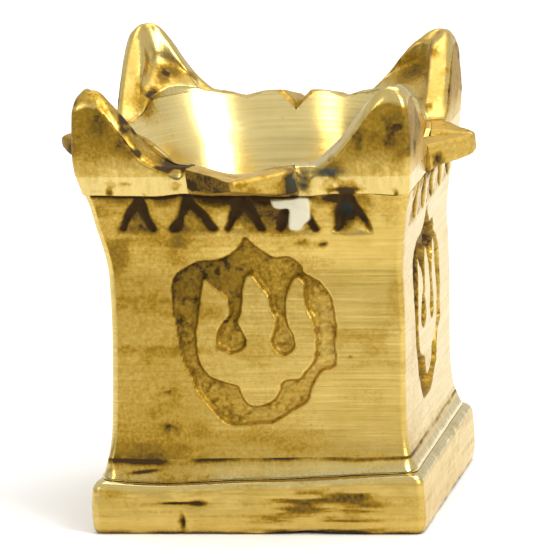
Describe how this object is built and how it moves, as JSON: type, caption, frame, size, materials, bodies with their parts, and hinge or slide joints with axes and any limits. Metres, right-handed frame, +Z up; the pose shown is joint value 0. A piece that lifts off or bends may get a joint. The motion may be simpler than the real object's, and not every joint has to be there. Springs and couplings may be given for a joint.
{
  "type": "candle holder",
  "caption": "Small square brass holder for one votive candle: stepped foot, panelled shaft, round cup and a crown of corner horns and pointed lips.",
  "frame": {"origin": "centre of the square foot's underside, which rests on the surface", "axes": "+Z up along the axis of the cup, -Y towards the front face, +X to the right of it"},
  "size_m": [0.0644, 0.0644, 0.067],
  "materials": {
    "brushed_brass": "filed and brushed brass, fine horizontal scratches, brown dirt in the corners",
    "cast_brass": "rough cast brass, dark tarnish in the recesses",
    "turned_brass": "turned and polished brass with fine tool rings"
  },
  "bodies": {
    "root": {"plinth": "brushed_brass", "foot_cove": "cast_brass", "shaft": "brushed_brass", "frieze_collar": "cast_brass", "cup": "turned_brass", "horn_front_right": "brushed_brass", "horn_back_right": "brushed_brass", "horn_back_left": "brushed_brass", "horn_front_left": "brushed_brass", "lip_front": "cast_brass", "lip_right": "cast_brass", "lip_back": "cast_brass", "lip_left": "cast_brass"}
  },
  "joints": []
}
